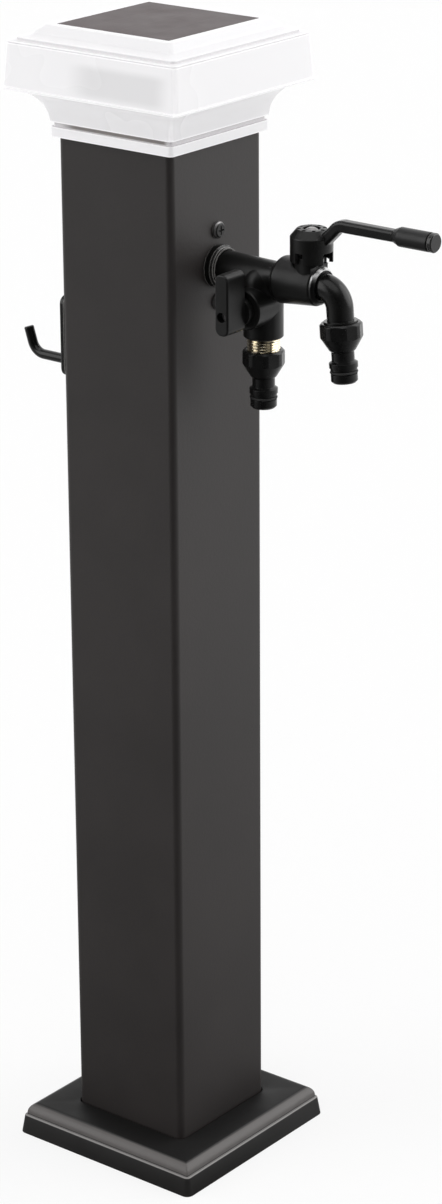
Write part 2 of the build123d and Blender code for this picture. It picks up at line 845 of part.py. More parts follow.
def lever_screw():
    outline = [(0, -lever_screw_long), (lever_screw_radius, -lever_screw_long), (lever_screw_radius, 0),
               (lever_screw_head, 0), (lever_screw_head, lever_screw_high / 2),
               (lever_screw_head / 2, lever_screw_high), (0, lever_screw_high)]
    return turned(outline, (stem_x, 0, tap_height + hood_floor_up), post_up)


def lever_grip():
    bore = spigot_radius + run_gap
    mouth = grip_mouth_radius
    start = grip_groove + seat_gap
    plug = grip_long - cap_plug_long - run_gap
    outline = [(bore, start), (mouth, start), (grip_radius, grip_cone_long), (grip_radius, grip_long),
               (cap_plug_radius + run_gap, grip_long), (cap_plug_radius + run_gap, plug), (bore, plug)]
    return turned(outline, (stem_x + grip_start_out, 0, tap_height + arm_up), post_out)


def grip_end_cap():
    neck = grip_radius - cap_groove_deep
    plug = -cap_plug_long
    tip = cap_long + cap_groove
    outline = [(0, plug), (cap_plug_radius, plug), (cap_plug_radius, 0), (neck, 0), (neck, cap_groove)]
    outline += [(grip_radius, cap_groove), (grip_radius, tip - cap_dome), (grip_radius - cap_dome, tip)]
    outline += [(0, tip)]
    return turned(outline, (stem_x + grip_start_out + grip_long, 0, tap_height + arm_up), post_out)


# Side lever

def side_lever():
    high = side_bar_up + side_bar_down
    middle = side_z + (side_bar_up - side_bar_down) / 2
    plane = Plane((branch_x, side_bar_deep - side_bar_out, middle), x_dir=(1, 0, 0), z_dir=(0, -1, 0))
    bar = plane * extrude(RectangleRounded(side_bar_wide, high, side_bar_round), side_bar_deep)
    bar = fillet(bar.faces().sort_by(Axis.Y)[0].edges(), side_edge_round)
    hub_start = side_boss_out + move_gap
    centre = Vector(*side_centre)
    cavity = gland_head_wide / 2 / cos(pi / hex_sides) + move_gap / 2
    hub_long = side_bar_out - side_bar_deep - hub_start
    bar += rod(centre + side_out * hub_start, side_out, side_hub_radius, hub_long)
    bar -= rod(centre + side_out * side_boss_out, side_out, cavity, gland_head + move_gap)
    bar -= rod(centre + side_out * side_floor_out, side_out, side_recess_radius, side_recess_deep + cut_over)
    hole = Plane(origin=centre, x_dir=(0, 0, 1), z_dir=(0, -1, 0)) * extrude(
        Rectangle(square_wide + slot_gap, square_wide + slot_gap), side_floor_out)
    return bar - hole


def side_lever_screw():
    outline = [(0, -side_screw_long), (side_screw_radius, -side_screw_long), (side_screw_radius, 0),
               (side_screw_head, 0), (side_screw_head, side_screw_high), (0, side_screw_high)]
    return turned(outline, Vector(*side_centre) + side_out * side_floor_out, side_out)


def screw_pocket(centre, stem, top, radius, long):
    """Threaded hole in the end of a stem for the screw that holds its lever."""
    return rod(Vector(*centre) + stem * (top - long), stem, radius + run_gap, long + cut_over)


def main_stem():
    stem = valve_stem(main_centre, post_out, post_up, main_square_up, main_square_top)
    long = lever_screw_long - move_gap + run_gap
    return stem - screw_pocket(main_centre, post_up, main_square_top, lever_screw_radius, long)


def side_stem():
    stem = valve_stem(side_centre, post_up, side_out, side_square_out, side_square_top)
    long = side_screw_long - move_gap + run_gap
    return stem - screw_pocket(side_centre, side_out, side_square_top, side_screw_radius, long)


# Spout

def spout_path():
    centre = (barrel_x, 0, tap_height - spout_bend)
    arc_plane = Plane(centre, x_dir=(1, 0, 0), z_dir=(0, -1, 0))
    return arc_plane * CenterArc((0, 0), spout_bend, 90 - spout_turn, spout_turn)


def spout():
    start = (barrel_x, 0, tap_height)
    section = Plane(origin=start, z_dir=post_out)
    path = spout_path()
    tube = sweep(section * Circle(spout_radius), path)
    tube += rod(spout_bend_end, spout_away, spout_radius, spout_down)
    tube += rod(spout_collar, spout_away, thread_radius, spout_thread_long)
    tail_start = (barrel_x - spout_tail_long + spout_seal_thick, 0, tap_height)
    tube += rod(tail_start, post_out, spout_tail_radius, spout_tail_long - spout_seal_thick)
    tube -= sweep(section * Circle(water_radius), path)
    tube -= rod(spout_bend_end, spout_away, water_radius, spout_down + spout_thread_long + cut_over)
    tube -= rod(tail_start, post_out, water_radius, spout_tail_long - spout_seal_thick)
    return tube


def spout_seal():
    start = (barrel_x - spout_tail_long, 0, tap_height)
    return pipe(start, post_out, spout_tail_radius, water_radius, spout_seal_thick)


def spout_ring():
    bore = barrel_nose_radius + seat_gap
    outline = [(bore, 0), (spout_ring_radius, 0), (spout_ring_radius, spout_ring_land),
               (spout_ring_nose, spout_ring_long), (bore, spout_ring_long)]
    return turned(outline, (post_half + barrel_shoulder_out, 0, tap_height), post_out)


def branch_outlet():
    outline = [(water_radius, -outlet_thread_long), (thread_radius, -outlet_thread_long), (thread_radius, 0),
               (outlet_spigot_radius, 0), (outlet_spigot_radius, outlet_top - branch_bottom),
               (water_radius, outlet_top - branch_bottom)]
    return turned(outline, (branch_x, 0, branch_bottom), post_up)


# Hose adapters

def adapter_places():
    """Where the two adapters' open ends lie and which way they point."""
    shoulder = adapter_thread_deep - adapter_washer
    branch = Vector(branch_x, 0, outlet_bottom) + post_up * shoulder
    return [(spout_foot - spout_away * shoulder, spout_away), (branch, -post_up)]


def hose_adapter(origin, away):
    nut_end = adapter_nut_long
    cone_end = nut_end + adapter_cone_long
    neck_end = cone_end + adapter_neck_long
    ridge_end = neck_end + adapter_ridge_long
    groove = ridge_end + adapter_groove_down
    tip = adapter_land_radius - adapter_bevel
    outline = [(adapter_bore, 0), (adapter_nut_round - adapter_bevel, 0), (adapter_nut_round, adapter_bevel),
               (adapter_nut_round, nut_end - adapter_bevel - adapter_bevel), (adapter_cone_radius, cone_end),
               (adapter_neck_radius, cone_end + adapter_bevel),
               (adapter_neck_radius, neck_end - adapter_bevel),
               (adapter_ridge_radius, neck_end), (adapter_ridge_radius, ridge_end),
               (adapter_land_radius, ridge_end), (adapter_land_radius, groove),
               (adapter_groove_radius, groove), (adapter_groove_radius, groove + adapter_groove_long),
               (adapter_land_radius, groove + adapter_groove_long),
               (adapter_land_radius, adapter_long - adapter_bevel),
               (tip, adapter_long), (adapter_bore, adapter_long)]
    body = turned(outline, origin, away)
    flats = prism(origin, away, adapter_nut_wide, adapter_nut_sides, cone_end)
    flats += rod(origin + away * nut_end, away, adapter_nut_wide / 2, adapter_long)
    body = body & flats
    return body - rod(origin, away, thread_bore, adapter_thread_deep)


def adapter_washer_ring(origin, away):
    start = origin + away * (adapter_thread_deep - adapter_washer)
    return pipe(start, away, thread_radius, water_radius, adapter_washer)


def adapter_seal(origin, away):
    ridge_end = adapter_nut_long + adapter_cone_long + adapter_neck_long + adapter_ridge_long
    groove = ridge_end + adapter_groove_down
    middle = adapter_groove_radius + adapter_seal_thick / 2 + run_gap
    return ring_seal(origin + away * (groove + adapter_groove_long / 2), away, middle, adapter_seal_thick)


# Hose hook

def hook_plate():
    plane = Plane((-post_half, 0, hook_plate_mid), x_dir=(0, -1, 0), z_dir=(-1, 0, 0))
    outline = RectangleRounded(hook_plate_wide, hook_plate_high, hook_plate_round)
    plate = plane * extrude(outline, hook_plate_thick)
    plate = fillet(plate.faces().sort_by(Axis.X)[0].edges(), hook_tip_round)
    for y in hook_screw_ys:
        start = (-post_half + cut_over, y, hook_plate_mid)
        hole_long = hook_plate_thick + cut_over + cut_over
        plate -= rod(start, -post_out, pan_screw_radius + screw_hole_gap, hole_long)
    return plate


def hook_arm(y):
    lean = radians(hook_lean)
    start = (hook_face, y, hook_arm_up)
    knee = (hook_face - hook_reach, y, hook_arm_up)
    tip = (knee[0] - hook_tip_long * sin(lean), y, hook_arm_up + hook_tip_long * cos(lean))
    path = FilletPolyline(start, knee, tip, radius=hook_bend)
    arm = sweep(Plane(origin=start, z_dir=-post_out) * Circle(hook_rod_radius), path)
    end = arm.faces().filter_by(GeomType.PLANE).sort_by(Axis.X)[0]
    return fillet(end.edges(), hook_tip_round).solid()


def hook_arms():
    return Compound([hook_arm(y) for y in hook_arm_ys])


def hook_screws():
    seats = [(hook_face, y, hook_plate_mid) for y in hook_screw_ys]
    return Compound([pan_screw(seat, -post_out, hook_screw_long).solid() for seat in seats])


def rivet_nut(y):
    """Blind nut in the post wall: its collar sits inside the wall."""
    outer = (-post_half, y, hook_plate_mid)
    nut = rod(outer, post_out, rivet_nut_radius, rivet_nut_long)
    nut += rod((-wall_in, y, hook_plate_mid), post_out, rivet_nut_flange, rivet_nut_lip)
    return (nut - rod(outer, post_out, pan_screw_radius + run_gap, rivet_nut_long)).solid()


def hook_nuts():
    return Compound([rivet_nut(y) for y in hook_screw_ys])


# Solar lamp

def lamp_base():
    base = square_column(collar_half, lamp_bottom, groove_low, lamp_corner)
    base += square_column(groove_half, groove_low, floor_top, lamp_corner)
    inside = post_half + lamp_post_gap
    base -= square_column(inside, lamp_bottom - cut_over, floor_low, post_corner + lamp_post_gap)
    cut_low = floor_low - cut_over
    cut_high = lamp_floor + cut_over + cut_over
    for x, y in four_corners(lamp_screw_spread):
        base -= rod((x, y, cut_low), post_up, lamp_screw_radius + screw_hole_gap, cut_high)
    return base - Plane((0, 0, cut_low)) * extrude(Rectangle(switch_slot_wide, switch_slot_long), cut_high)


def lens_levels(inset):
    """Outline of the lamp's lens from its foot up, as (half width, height)."""
    levels = [(lens_foot_half, lens_low), (lens_foot_half, cove_low)]
    for along, up in quarter_curve(cove_wide, cove_high, cove_steps, hollow=True):
        levels.append((lens_foot_half + along, cove_low + up))
    levels += [(lens_foot_half + cove_wide, band_low), (band_foot_half, band_low), (band_top_half, band_top)]
    return [(half - inset, z) for half, z in levels]


def lamp_lens():
    inner = [(half, z + (cut_over if z >= band_top else 0)) for half, z in lens_levels(lens_wall)]
    lens = square_form(lens_levels(0), lamp_corner) - square_form(inner, lamp_corner - lens_wall)
    lens += square_ring(lens_foot_half, shelf_half, floor_top, shelf_top, lamp_corner)
    for x, y in four_corners(lamp_screw_spread):
        lens += rod((x, y, floor_top), post_up, boss_radius, lamp_screw_long)
        lens -= rod((x, y, floor_top), post_up, lamp_screw_radius + run_gap, lamp_screw_long - cut_over)
    return lens


def frame_levels():
    """Outline of the lamp's top frame from the lens up, as (half width, height)."""
    lip = band_top_half - frame_lip_in
    step = frame_step_half
    levels = [(lip, frame_low), (lip, step_low), (step, step_low + frame_lip_in), (step, step_top)]
    for along, up in quarter_curve(frame_cove_wide, frame_cove_high, frame_cove_steps, hollow=False):
        levels.append((step - along, step_top + up))
    bevel = frame_rim_bevel
    levels += [(frame_bead_half, rim_low), (frame_rim_half + bevel, rim_top - bevel)]
    return levels + [(frame_rim_half, rim_top)]


def lamp_top_frame():
    corner = lamp_corner - lens_wall
    low = frame_low - frame_skirt_high
    frame = square_form(frame_levels(), lamp_corner)
    frame += square_column(band_top_half - lens_wall - seat_gap, low, frame_low, corner)
    step_cave = frame_step_half - frame_wall
    rim_cave = frame_bead_half - frame_wall
    frame -= square_column(step_cave, low - cut_over, step_top - frame_wall, corner)
    frame -= square_column(rim_cave, low, core_top, corner)
    frame -= square_column(panel_half - panel_ledge, low, rim_top, corner)
    frame -= square_column(panel_half + seat_gap, panel_low, rim_top + cut_over, corner)
    return frame


def solar_panel():
    return square_column(panel_half, panel_low, rim_top, lamp_corner - lens_wall)


def lamp_core():
    flange_half = panel_half + core_flange_over
    hollow = core_half - core_wall
    core = square_column(core_half, core_low, core_top, lamp_corner)
    core += square_column(flange_half, core_top - core_flange_thick, core_top, lamp_corner)
    return core - square_column(hollow, core_low + core_wall, core_top + cut_over, lamp_corner - core_wall)


def core_lid():
    half = panel_half - panel_ledge - screw_hole_gap
    return square_column(half, core_top, core_top + core_lid_thick, lamp_corner)


def battery():
    floor = core_low + core_wall
    centre = (-battery_long / 2, 0, floor + battery_radius + seat_gap)
    cell = rod(centre, post_out, battery_radius, battery_long)
    return cell + rod((battery_long / 2, 0, centre[2]), post_out, battery_tip_radius, battery_tip_long)


def battery_clips():
    high = battery_radius + battery_radius
    plate = Rectangle(battery_clip_thick, battery_clip_wide)
    reach = battery_long / 2 + seat_gap + battery_clip_thick / 2
    middles = (-reach, reach + battery_tip_long)
    return Compound([(Plane((x, 0, core_low + core_wall)) * extrude(plate, high)).solid() for x in middles])


def led_board():
    return square_column(board_half, core_low - board_thick, core_low, lamp_corner)


def leds():
    top = core_low - board_thick
    lights = []
    for x, y in four_corners(led_spread):
        shaft = rod((x, y, top), -post_up, led_radius, led_high - led_radius)
        lights.append((shaft + Pos(x, y, top - led_high + led_radius) * Sphere(led_radius)).solid())
    return Compound(lights)


def switch_body():
    block = Plane((0, 0, floor_top)) * extrude(Rectangle(switch_wide, switch_long), switch_deep)
    slot_wide = switch_knob_wide + seat_gap + seat_gap
    slot = extrude(Rectangle(slot_wide, switch_slot_long), switch_deep / 2 + cut_over)
    return block - Plane((0, 0, floor_top - cut_over)) * slot


def switch_slider():
    """Slide knob, at the off end of its slot; its tip is reached from under the lamp."""
    top = floor_top + switch_deep / 2 - move_gap / 2
    long = switch_slot_long - switch_travel - move_gap
    return Plane((0, -switch_travel / 2, top)) * extrude(Rectangle(switch_knob_wide, long), -switch_knob_deep)


def lamp_screws():
    screws = []
    for x, y in four_corners(lamp_screw_spread):
        head = rod((x, y, floor_low), -post_up, lamp_screw_head, lamp_screw_high)
        screws.append((head + rod((x, y, floor_low), post_up, lamp_screw_radius, lamp_screw_long)).solid())
    return Compound(screws)


# Every piece under its own name

def pair(make, places):
    return Compound([make(*place).solid() for place in places])


def pieces():
    adapters = adapter_places()
    ends = riser_ends()
    return {
        "post_tube": post_tube(),
        "base_plate": base_plate(),
        "base_cover": base_cover(),
        "inlet_socket": inlet_socket(),
        "inlet_nipple": inlet_nipple(),
        "riser_hose": riser_hose(),
        "riser_washers": pair(riser_washer, ends),
        "riser_tails": pair(riser_tail, ends),
        "riser_nuts": pair(riser_nut, ends),
        "riser_ferrules": pair(riser_ferrule, ends),
        "wall_elbow": wall_elbow(),
        "elbow_screws": elbow_screws(),
        "wall_flange": wall_flange(),
        "tap_body": tap_body(),
        "main_ball": valve_ball(main_centre, post_out, post_up),
        "main_seats": pair(valve_seat, [(main_centre, post_out), (main_centre, -post_out)]),
        "main_stem": main_stem(),
        "main_stem_seal": valve_seal(main_centre, post_up, bonnet_high),
        "main_gland": valve_gland(main_centre, post_up, bonnet_high),
        "lever": lever(),
        "lever_screw": lever_screw(),
        "lever_grip": lever_grip(),
        "grip_end_cap": grip_end_cap(),
        "spout": spout(),
        "spout_seal": spout_seal(),
        "spout_ring": spout_ring(),
        "branch_outlet": branch_outlet(),
        "side_ball": valve_ball(side_centre, post_up, side_out),
        "side_seats": pair(valve_seat, [(side_centre, post_up), (side_centre, -post_up)]),
        "side_stem": side_stem(),
        "side_stem_seal": valve_seal(side_centre, side_out, side_boss_out),
        "side_gland": valve_gland(side_centre, side_out, side_boss_out),
        "side_lever": side_lever(),
        "side_lever_screw": side_lever_screw(),
        "spout_adapter": hose_adapter(*adapters[0]),
        "branch_adapter": hose_adapter(*adapters[1]),
        "spout_adapter_washer": adapter_washer_ring(*adapters[0]),
        "branch_adapter_washer": adapter_washer_ring(*adapters[1]),
        "spout_adapter_seal": adapter_seal(*adapters[0]),
        "branch_adapter_seal": adapter_seal(*adapters[1]),
        "hook_plate": hook_plate(),
        "hook_arms": hook_arms(),
        "hook_screws": hook_screws(),
        "hook_nuts": hook_nuts(),
        "lamp_base": lamp_base(),
        "lamp_lens": lamp_lens(),
        "lamp_top_frame": lamp_top_frame(),
        "solar_panel": solar_panel(),
        "lamp_core": lamp_core(),
        "core_lid": core_lid(),
        "battery": battery(),
        "battery_clips": battery_clips(),
        "led_board": led_board(),
        "leds": leds(),
        "switch_body": switch_body(),
        "switch_slider": switch_slider(),
        "lamp_screws": lamp_screws(),
    }


def main():
    os.makedirs("parts", exist_ok=True)
    for name, shape in pieces().items():
        export_step(shape, "parts/" + name + ".step")


if __name__ == "__main__":
    main()
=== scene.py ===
import json
import math

import bmesh
import bpy
from bpy.props import FloatProperty, FloatVectorProperty, IntProperty, PointerProperty
from mathutils import Matrix, Vector


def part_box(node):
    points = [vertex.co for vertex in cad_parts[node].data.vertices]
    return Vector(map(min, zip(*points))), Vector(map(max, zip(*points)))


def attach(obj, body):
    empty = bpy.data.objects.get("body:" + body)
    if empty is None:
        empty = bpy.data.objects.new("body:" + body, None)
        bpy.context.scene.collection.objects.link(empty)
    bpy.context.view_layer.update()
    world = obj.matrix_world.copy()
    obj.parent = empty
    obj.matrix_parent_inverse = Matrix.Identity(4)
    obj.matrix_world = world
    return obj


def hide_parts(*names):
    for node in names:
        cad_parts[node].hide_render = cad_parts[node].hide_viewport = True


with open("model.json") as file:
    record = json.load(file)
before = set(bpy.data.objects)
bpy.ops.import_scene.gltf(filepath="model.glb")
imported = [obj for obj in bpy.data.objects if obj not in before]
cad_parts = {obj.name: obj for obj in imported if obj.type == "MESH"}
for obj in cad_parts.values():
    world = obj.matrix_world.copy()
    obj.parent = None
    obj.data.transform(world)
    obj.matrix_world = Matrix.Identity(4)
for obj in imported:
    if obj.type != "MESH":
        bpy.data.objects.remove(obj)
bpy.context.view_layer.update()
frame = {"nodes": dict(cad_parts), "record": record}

bl_info = {
    "name": "Garden Standpipe",
    "version": (1, 0, 0),
    "blender": (4, 5, 0),
    "location": "View3D > Sidebar > Standpipe",
    "description": "Finishes and fine detail of a garden standpipe with a two-way tap and a solar lamp",
    "category": "Add Mesh",
}

NODES = frame["nodes"]
MM = 0.001
DARK_SIDE = (0.454, -0.891)  # level direction from the object to the room's dark side


# Shader maths

class Value:
    """A socket in a material, with arithmetic that adds the Math nodes."""

    def __init__(self, shader, socket):
        self.shader = shader
        self.socket = socket

    def math(self, operation, *others, swap=False):
        terms = [self, *others]
        if swap:
            terms.reverse()
        return self.shader.node("ShaderNodeMath", {"operation": operation}, dict(enumerate(terms)))

    def __add__(self, other):
        return self.math("ADD", other)

    def __sub__(self, other):
        return self.math("SUBTRACT", other)

    def __rsub__(self, other):
        return self.math("SUBTRACT", other, swap=True)

    def __mul__(self, other):
        return self.math("MULTIPLY", other)

    def __truediv__(self, other):
        return self.math("DIVIDE", other)

    def __pow__(self, other):
        return self.math("POWER", other)

    __radd__ = __add__
    __rmul__ = __mul__

    def above(self, limit):
        return self.math("GREATER_THAN", limit)

    def below(self, limit):
        return self.math("LESS_THAN", limit)

    def largest(self, other):
        return self.math("MAXIMUM", other)

    def size(self):
        return self.math("ABSOLUTE")

    def wave(self):
        return self.math("SINE")

    def stripes(self, limit):
        """1 on the lines where the fraction is nearest 0 or 1, wider for a lower limit."""
        return (self.math("FRACT") - 0.5).size().above(limit)

    def steps(self, low, high):
        """0 below low, 1 above high and smooth between."""
        ramp = {"interpolation_type": "SMOOTHSTEP"}
        ends = {"Value": self, "From Min": low, "From Max": high}
        return self.shader.node("ShaderNodeMapRange", ramp, ends)

    def band(self, start, full, fall, end):
        """1 from full to fall, 0 below start and above end."""
        return self.steps(start, full) * (1.0 - self.steps(fall, end))


class Shader:
    """Nodes of one material or world."""

    def __init__(self, tree):
        self.tree = tree
        self.place = None

    def node(self, kind, settings, inputs, output=0):
        made = self.tree.nodes.new(kind)
        for setting, value in settings.items():
            setattr(made, setting, value)
        for name, value in inputs.items():
            if isinstance(value, Value):
                self.tree.links.new(value.socket, made.inputs[name])
            else:
                made.inputs[name].default_value = value
        return Value(self, made.outputs[output]) if made.outputs else None

    def axes(self, vector=None):
        """The x, y and z of a vector, or of the place, in metres."""
        split = self.tree.nodes.new("ShaderNodeSeparateXYZ")
        self.tree.links.new((vector or self.place).socket, split.inputs[0])
        return [Value(self, split.outputs[i]) for i in range(3)]

    def facing(self):
        """The x, y and z of the direction that the surface faces."""
        return self.axes(self.node("ShaderNodeTexCoord", {}, {}, "Normal"))

    def ray(self, kind):
        """1 for rays of a kind, 0 for others."""
        return self.node("ShaderNodeLightPath", {}, {}, kind)


class Finish(Shader):
    """One procedural material, built round a Principled shader."""

    def __init__(self, name, colour, roughness, metallic=0.0, specular=0.5, **sockets):
        self.material = bpy.data.materials.new(name)
        self.material.use_nodes = True
        self.tree = self.material.node_tree
        self.shader = next(n for n in self.tree.nodes if n.type == "BSDF_PRINCIPLED")
        self.shader.inputs["Base Color"].default_value = (*colour, 1.0)
        self.shader.inputs["Roughness"].default_value = roughness
        self.shader.inputs["Metallic"].default_value = metallic
        self.shader.inputs["Specular IOR Level"].default_value = specular
        for socket, value in sockets.items():
            self.shader.inputs[socket.replace("_", " ")].default_value = value
        self.colour = colour
        self.place = self.node("ShaderNodeTexCoord", {}, {}, "Object")

    def feed(self, socket, value):
        self.tree.links.new(value.socket, self.shader.inputs[socket])

    def noise(self, scale, detail=3.0):
        """Noise of about one cycle per 1/scale metres."""
        inputs = {"Vector": self.place, "Scale": scale, "Detail": detail}
        return self.node("ShaderNodeTexNoise", {}, inputs, "Fac")

    def mix(self, share, first, second):
        """Colour mix; first and second are colours or values."""
        node = self.tree.nodes.new("ShaderNodeMix")
        node.data_type = "RGBA"
        for socket, value in ((node.inputs[0], share), (node.inputs[6], first), (node.inputs[7], second)):
            if isinstance(value, Value):
                self.tree.links.new(value.socket, socket)
            elif isinstance(value, tuple):
                socket.default_value = (*value, 1.0)
            else:
                socket.default_value = value
        return Value(self, node.outputs[2])

    def paint(self, share, first, second):
        self.feed("Base Color", self.mix(share, first, second))

    def tint(self, share, darker, lighter):
        """The finish's own colour, varied between two factors by a mask."""
        low = tuple(channel * darker for channel in self.colour)
        high = tuple(channel * lighter for channel in self.colour)
        self.paint(share, low, high)

    def glow(self, share):
        """Painted light: a faint emission of its own, for white plastic that light passes through."""
        self.feed("Emission Color", self.mix(share, (0.0, 0.0, 0.0), (1.0, 0.985, 1.0)))

    def gloss(self, share, low, high):
        self.feed("Roughness", share * (high - low) + low)

    def relief(self, height, depth, edge=0.0):
        """Bump of a height mask, its depth in metres; edge rounds sharp edges to that radius."""
        inputs = {"Height": height, "Distance": depth, "Strength": 1.0}
        if edge:
            inputs["Normal"] = self.soft_edge(edge)
        self.feed("Normal", self.node("ShaderNodeBump", {}, inputs))

    def crease(self, reach):
        """1 in open places, falling towards 0 in inner corners within a reach in metres."""
        return self.node("ShaderNodeAmbientOcclusion", {"samples": 8}, {"Distance": reach}, "AO")

    def edge_mask(self, radius):
        """1 on sharp edges, 0 on flat faces."""
        flat = self.node("ShaderNodeNewGeometry", {}, {}, "True Normal")
        turned = {0: self.soft_edge(radius), 1: flat}
        dots = self.node("ShaderNodeVectorMath", {"operation": "DOT_PRODUCT"}, turned, "Value")
        return (1.0 - dots).steps(0.004, 0.16)

    def soft_edge(self, radius):
        return self.node("ShaderNodeBevel", {"samples": 6}, {"Radius": radius})


def powder_coat():
    finish = Finish("Powder coat", (0.0215, 0.0180, 0.0172), 0.46, specular=0.46)
    grain = finish.noise(1500.0, 2.0)
    cloud = finish.noise(14.0, 3.0)
    finish.tint(cloud.steps(0.3, 0.7), 0.92, 1.12)
    finish.gloss(grain * 0.5 + cloud * 0.5, 0.40, 0.56)
    finish.relief(grain + finish.noise(420.0, 2.0) * 1.2, 0.00004, edge=0.0004)
    return finish.material


def moulded_black():
    """Black plastic, with painted highlights on the cover's band and lip and, on its top, painted shade
    and a rougher surface.
    """
    finish = Finish("Moulded black plastic", (0.0170, 0.0163, 0.0160), 0.34, specular=0.30)
    spark = finish.noise(2600.0, 2.0)
    smear = finish.noise(30.0, 4.0)
    level = finish.axes()[2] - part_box("base_cover")[0].z
    # Masks by height: the curved band and the lip get painted highlights, the flat top painted shade.
    band = level.band(0.0136, 0.0141, 0.0200, 0.0208)
    lip = level.band(0.0123, 0.0127, 0.0130, 0.0135)
    top = level.above(0.0208)
    # Painted shade: the flat top painted darker than the rest.
    own = finish.mix(top, finish.colour, (0.0035, 0.0031, 0.0030))
    # Painted highlight on the band, varied at random by the smear noise.
    band_sheen = finish.mix(band * (smear.steps(0.35, 0.7) * 0.15 + 0.85), own, (0.118, 0.110, 0.107))
    # Painted highlight along the lip's edge.
    finish.paint(lip, band_sheen, (0.26, 0.25, 0.245))
    finish.feed("Roughness", smear.steps(0.2, 0.8) * 0.16 + 0.28 + top * 0.26)
    finish.relief(spark, 0.000015, edge=0.0009)
    return finish.material


def cast_black():
    """Black coating, with painted highlights on the wall ring's edges, and smoother on the spout."""
    finish = Finish("Black coated casting", (0.0042, 0.0042, 0.0040), 0.36, specular=0.34)
    orange_peel = finish.noise(700.0, 2.0)
    cloud = finish.noise(60.0, 3.0)
    x = finish.axes()[0]
    ring = x.below(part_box("wall_flange")[1].x + 0.0001)
    bend = x.above(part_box("spout_ring")[1].x)
    own = finish.mix(cloud.steps(0.3, 0.7), (0.0036, 0.0036, 0.0034), (0.0050, 0.0050, 0.0048))
    # Painted highlight: the wall ring's edges painted pale.
    finish.paint(ring * finish.edge_mask(0.0012), own, (0.30, 0.29, 0.28))
    finish.feed("Roughness", cloud.steps(0.2, 0.8) * 0.14 + 0.30 - ring * 0.18 - bend * 0.12)
    finish.relief(orange_peel, 0.00003, edge=0.0005)
    return finish.material


def grip_black():
    finish = Finish("Black grip", (0.0062, 0.0062, 0.0062), 0.40, specular=0.38)
    haze = finish.noise(90.0, 3.0)
    finish.tint(haze, 0.85, 1.15)
    finish.gloss(haze.steps(0.2, 0.8), 0.34, 0.48)
    finish.relief(finish.noise(1800.0, 2.0), 0.00002, edge=0.0003)
    return finish.material


def gloss_black():
    finish = Finish("Gloss black", (0.0085, 0.0085, 0.0088), 0.18, specular=0.5)
    haze = finish.noise(120.0, 3.0)
    # Painted highlight: the cap's edges painted pale where the gloss catches light, varied by haze.
    grain_and_sheen = finish.edge_mask(0.0010) * (haze * 0.6 + 0.4)
    finish.paint(grain_and_sheen, finish.colour, (0.16, 0.155, 0.15))
    finish.gloss(haze.steps(0.2, 0.8), 0.12, 0.24)
    finish.relief(haze, 0.00001, edge=0.0003)
    return finish.material


def adapter_black():
    finish = Finish("Moulded adapter", (0.0045, 0.0045, 0.0045), 0.27, specular=0.36)
    haze = finish.noise(160.0, 3.0)
    finish.tint(haze, 0.85, 1.15)
    finish.gloss(haze.steps(0.2, 0.8), 0.22, 0.36)
    finish.relief(finish.noise(1100.0, 2.0), 0.00001, edge=0.0004)
    return finish.material


def black_oxide():
    """Blackened screws, with painted highlights round the rims of the two on the tap's ears, where they
    are also more metallic.
    """
    finish = Finish("Black oxide", (0.0110, 0.0108, 0.0105), 0.34, metallic=0.25)
    low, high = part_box("elbow_screws")
    head = (high.y - low.y) / 2
    x, y, z = finish.axes()
    up = (z - (low.z + high.z) / 2).size() - ((high.z - low.z) / 2 - head)
    across = (y * y + up * up) ** 0.5
    rim = across.steps(head * 0.80, head * 0.90) * x.above(high.x - 0.004)
    wear = finish.noise(500.0, 4.0)
    # Painted highlight round the rims, varied by the wear noise.
    bright = rim * (wear * 0.5 + 0.5)
    finish.paint(bright, (0.008, 0.0078, 0.0075), (0.36, 0.35, 0.35))
    finish.feed("Metallic", rim * 0.6 + 0.25)
    finish.gloss(wear.steps(0.2, 0.8), 0.26, 0.46)
    finish.relief(wear, 0.00001, edge=0.0003)
    return finish.material


def machined_brass():
    finish = Finish("Machined brass", (0.78, 0.60, 0.31), 0.2, metallic=1.0)
    z = finish.axes()[2]
    turning = (z * 14000.0 + finish.noise(300.0, 2.0) * 3.0).wave() * 0.5 + 0.5
    tarnish = finish.noise(220.0, 4.0).steps(0.45, 0.75)
    finish.paint(tarnish * 0.5, (0.94, 0.86, 0.68), (0.50, 0.41, 0.30))
    finish.gloss(tarnish, 0.14, 0.34)
    finish.relief(turning, 0.000008, edge=0.0002)
    return finish.material


def ring_steel():
    """Plated ring and screws, with painted shade on the ring's lower side."""
    finish = Finish("Bare steel", (0.60, 0.60, 0.60), 0.34, metallic=1.0)
    low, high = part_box("spout_ring")
    x, _, z = finish.axes()
    middle = (low.z + high.z) / 2
    # Painted shade: the ring's lower side painted near black.
    painted_shade_below = (1.0 - (z - middle).steps(0.003, 0.010)) * x.above(low.x - 0.001)
    grain = finish.noise(900.0, 3.0)
    grain_and_sheen = finish.mix(grain.steps(0.3, 0.7), (0.50, 0.50, 0.50), (0.66, 0.66, 0.66))
    finish.paint(painted_shade_below * 0.94, grain_and_sheen, (0.03, 0.03, 0.03))
    finish.gloss(grain, 0.24, 0.42)
    finish.relief(grain, 0.00001, edge=0.0003)
    return finish.material


def metal(name, colour, low, high):
    finish = Finish(name, colour, (low + high) / 2, metallic=1.0)
    grain = finish.noise(900.0, 3.0)
    finish.tint(grain.steps(0.3, 0.7), 0.85, 1.08)
    finish.gloss(grain, low, high)
    finish.relief(grain, 0.00001, edge=0.0002)
    return finish.material


